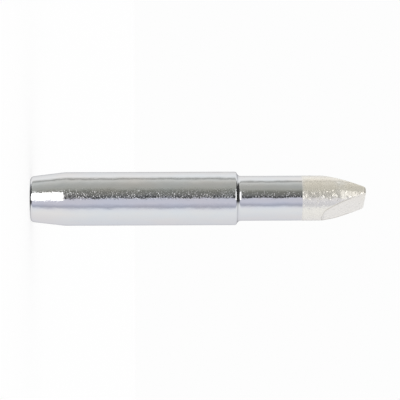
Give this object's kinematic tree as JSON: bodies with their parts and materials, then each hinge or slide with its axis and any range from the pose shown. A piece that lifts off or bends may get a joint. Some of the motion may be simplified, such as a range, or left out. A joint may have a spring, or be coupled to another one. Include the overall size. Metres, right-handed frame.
{
  "type": "soldering iron tip",
  "caption": "Plated sleeve tip for a soldering iron: a blind-bored sleeve that slides over the heater, a stepped stem and a ground chisel end with a tinned working face.",
  "frame": {"origin": "centre of the open rear rim, on the plane that the tip stands on", "axes": "+Z along the tip's axis towards the chisel edge; the chisel's two flats face -X and +X and its edge runs along Y"},
  "size_m": [0.0066, 0.0066, 0.0407],
  "materials": {
    "plating": "bright plated, with a tinned working end"
  },
  "bodies": {
    "root": {"soldering_tip": "plating"}
  },
  "joints": []
}
